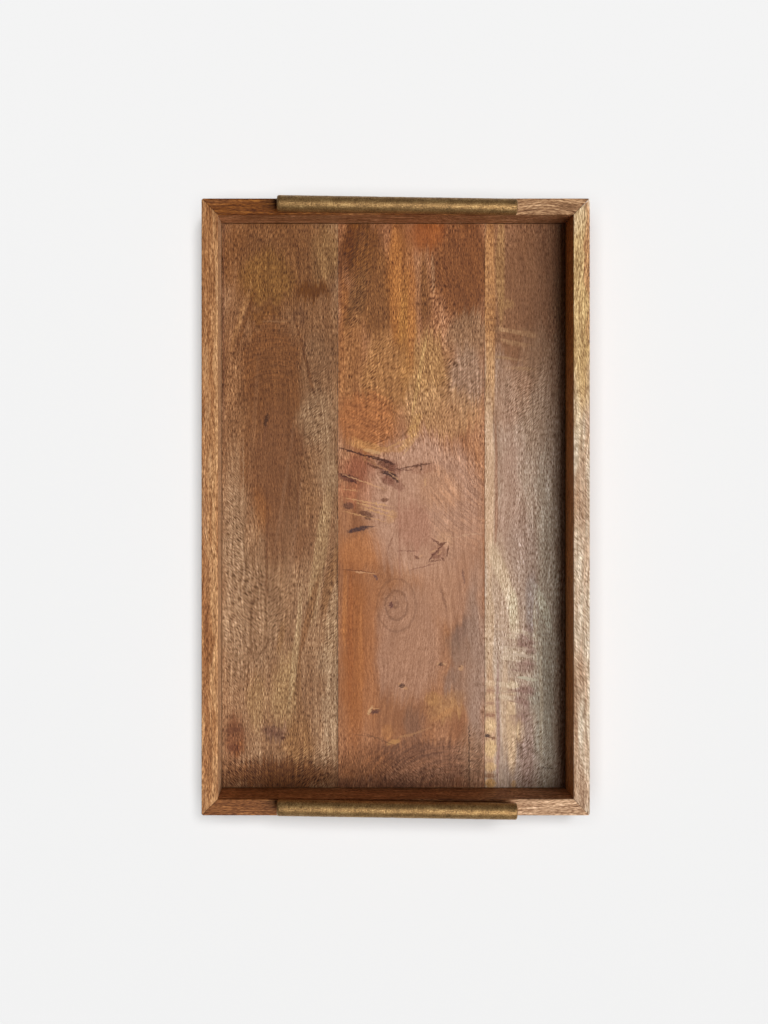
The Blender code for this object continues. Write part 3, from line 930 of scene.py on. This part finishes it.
def cast_ring(x, r, half, radius, middle):
    """One ring of the cast skin, dented towards the bar's core. It is a single point where r is 0."""
    station = Vector((x, 0.0, 0.0))
    facing = Vector((1.0 if x > 0 else -1.0, 0.0, 0.0))
    if r == 0.0:
        return [station - facing * cast_dent(station + middle)]
    core_x = max(-half + END_ROUND, min(half - END_ROUND, x))
    core_r = min(r, radius - END_ROUND)
    ring = []
    for step in range(BAR_SIDES):
        turn = math.tau * step / BAR_SIDES
        radial = Vector((0.0, math.cos(turn), math.sin(turn)))
        ideal = station + radial * r
        outward = ideal - (Vector((core_x, 0.0, 0.0)) + radial * core_r)
        outward = outward.normalized() if outward.length > 1e-7 else facing
        ring.append(ideal - outward * cast_dent(ideal + middle))
    return ring


def join_rings(mesh, before, after):
    for step in range(BAR_SIDES):
        following = (step + 1) % BAR_SIDES
        if len(before) == 1:
            mesh.faces.new((before[0], after[step], after[following]))
        elif len(after) == 1:
            mesh.faces.new((before[step], after[0], before[following]))
        else:
            mesh.faces.new((before[step], after[step], after[following], before[following]))


def linked_object(name, mesh):
    """A bmesh as an object in the scene."""
    data = bpy.data.meshes.new(name)
    mesh.to_mesh(data)
    mesh.free()
    made = bpy.data.objects.new(name, data)
    SCENE.collection.objects.link(made)
    return made


def cast_bar(end):
    low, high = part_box("bar_" + end)
    middle = (Vector(low) + Vector(high)) / 2
    radius = (high[2] - low[2]) / 2
    span = high[0] - low[0] - 2 * radius * math.sin(abs(HANDLE_SKEW))
    half = span / math.cos(HANDLE_SKEW) / 2 - END_SLACK
    mesh = bmesh.new()
    rings = [
        [mesh.verts.new(point) for point in cast_ring(x, r, half, radius, middle)]
        for x, r in bar_profile(half, radius)]
    for before, after in zip(rings, rings[1:]):
        join_rings(mesh, before, after)
    bmesh.ops.recalc_face_normals(mesh, faces=mesh.faces)
    piece = linked_object("cast_bar_" + end, mesh)
    piece.matrix_world = Matrix.Translation(middle) @ Matrix.Rotation(HANDLE_SKEW, 4, "Z")
    return piece


def post_drill(end, flank):
    """A drill that cuts the blind hole for one post."""
    low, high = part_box("post_" + end + "_" + flank)
    radius = (high[0] - low[0]) / 2 + SOCKET_SLACK
    top = high[2] + SOCKET_SLACK
    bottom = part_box("bar_" + end)[0][2] - DRILL_START
    middle = ((low[0] + high[0]) / 2, (low[1] + high[1]) / 2, (top + bottom) / 2)
    mesh = bmesh.new()
    bmesh.ops.create_cone(
        mesh, cap_ends=True, segments=SOCKET_SIDES, radius1=radius, radius2=radius, depth=top - bottom,
        matrix=Matrix.Translation(middle))
    return linked_object("drill", mesh)


def cut_away(piece, cutter):
    cut = piece.modifiers.new("socket", "BOOLEAN")
    cut.operation = "DIFFERENCE"
    cut.solver = "EXACT"
    cut.object = cutter
    bpy.context.view_layer.update()
    result = bpy.data.meshes.new_from_object(piece.evaluated_get(bpy.context.evaluated_depsgraph_get()))
    piece.modifiers.clear()
    piece.data = result
    bpy.data.objects.remove(cutter)


new_pieces = []
for end in ENDS:
    bar = cast_bar(end)
    for flank in FLANKS:
        cut_away(bar, post_drill(end, flank))
    for face in bar.data.polygons:
        face.use_smooth = True
    bar.data.set_sharp_from_angle(angle=SMOOTH_ANGLE)
    bar.data.name = "cast_bar_" + end
    bar.data.materials.clear()
    bar.data.materials.append(brass_finish)
    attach(bar, "root")
    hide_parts("bar_" + end)
    new_pieces.append(bar)


# ---------------------------------------------------------------- stage, light and camera
STAGE_HALF = 3.0
STAGE_DROP = 0.0002     # how far the stage lies below the tray
STAGE_GREY = 0.5
WORLD_LIGHT = 0.07      # the light that the world gives
WORLD_SEEN = 0.9        # its brightness to the camera, which matches the lit stage
CAMERA_X = -0.0635
CAMERA_Y = 0.0362
CAMERA_ABOVE_RIM = 1.3


def collection(name, members):
    made = bpy.data.collections.new(name)
    SCENE.collection.children.link(made)
    for member in members:
        made.objects.link(member)
    return made


def stage_floor():
    mesh = bmesh.new()
    bmesh.ops.create_grid(
        mesh, x_segments=1, y_segments=1, size=STAGE_HALF, matrix=Matrix.Translation((0.0, 0.0, -STAGE_DROP)))
    made = linked_object("stage_floor", mesh)
    paint = Graph("stage_paint")
    made.data.materials.append(paint.finish(
        Base_Color=(STAGE_GREY, STAGE_GREY, STAGE_GREY, 1.0), Roughness=1.0, Specular_IOR_Level=0.0))
    return made


def area_light(name, height, span_x, span_y, glow, receivers):
    """A level soft box that covers a span of directions, given as slopes from the upright."""
    data = bpy.data.lights.new(name, "AREA")
    data.shape = "RECTANGLE"
    data.size = height * (span_x[1] - span_x[0])
    data.size_y = height * (span_y[1] - span_y[0])
    data.energy = glow * math.pi * data.size * data.size_y
    made = bpy.data.objects.new(name, data)
    made.location = (height * sum(span_x) / 2, height * sum(span_y) / 2, height)
    SCENE.collection.objects.link(made)
    made.light_linking.receiver_collection = receivers


def studio_world():
    """White all round, and brighter to the camera than the light it gives."""
    world = bpy.data.worlds.new("studio")
    world.use_nodes = True
    tree = world.node_tree
    background = tree.nodes["Background"]
    background.inputs["Color"].default_value = (1.0, 1.0, 1.0, 1.0)
    rays = tree.nodes.new("ShaderNodeLightPath")
    strength = tree.nodes.new("ShaderNodeMapRange")
    strength.inputs["To Min"].default_value = WORLD_LIGHT
    strength.inputs["To Max"].default_value = WORLD_SEEN
    tree.links.new(rays.outputs["Is Camera Ray"], strength.inputs["Value"])
    tree.links.new(strength.outputs["Result"], background.inputs["Strength"])
    SCENE.world = world


def camera_above():
    data = bpy.data.cameras.new("camera")
    data.sensor_width = 36.0
    data.lens = 46.6
    data.shift_x = 0.0518
    data.shift_y = -0.041
    made = bpy.data.objects.new("camera", data)
    made.location = (CAMERA_X, CAMERA_Y, RIM_TOP + CAMERA_ABOVE_RIM)
    SCENE.collection.objects.link(made)
    SCENE.camera = made


# The tray is lit from the right by a light that leaves one wall's shadow across its floor. The stage has
# steeper lights of its own, so that the tray leaves only a narrow soft shade on it.
tray_set = collection("lit_tray", list(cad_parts.values()) + new_pieces)
stage_set = collection("lit_stage", [stage_floor()])
area_light("key", 9.0, (0.1, 1.45), (-0.65, 0.15), 6.65, tray_set)
area_light("stage_light", 30.0, (-0.45, 0.32), (-0.35, 0.5), 7.7, stage_set)
area_light("stage_spot", 30.0, (0.08, 0.28), (0.22, 0.44), 39.8, stage_set)
studio_world()
camera_above()
